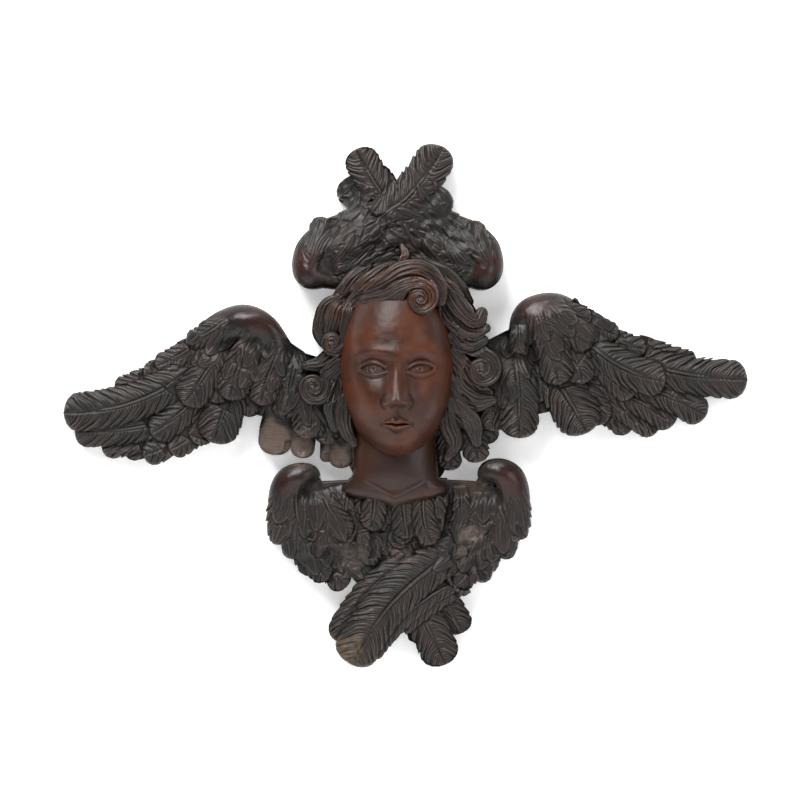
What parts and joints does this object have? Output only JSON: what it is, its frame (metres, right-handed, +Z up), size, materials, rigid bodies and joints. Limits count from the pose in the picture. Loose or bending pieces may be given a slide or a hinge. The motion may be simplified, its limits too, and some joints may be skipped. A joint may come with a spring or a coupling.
{
  "type": "carved cherub head",
  "caption": "Carved wooden cherub head with six feathered wings and a flat back, an ornament that hangs on a wall.",
  "frame": {"origin": "on the flat back, behind the middle of the face", "axes": "+X towards the viewer's right across the side wings, +Y out of the flat back into the wall, +Z up"},
  "size_m": [0.6821, 0.1221, 0.5235],
  "materials": {
    "stained_wood": "dark stained and waxed, worn to reddish brown on the face and high edges"
  },
  "bodies": {
    "root": {"carved_cherub_head": "stained_wood"}
  },
  "joints": []
}
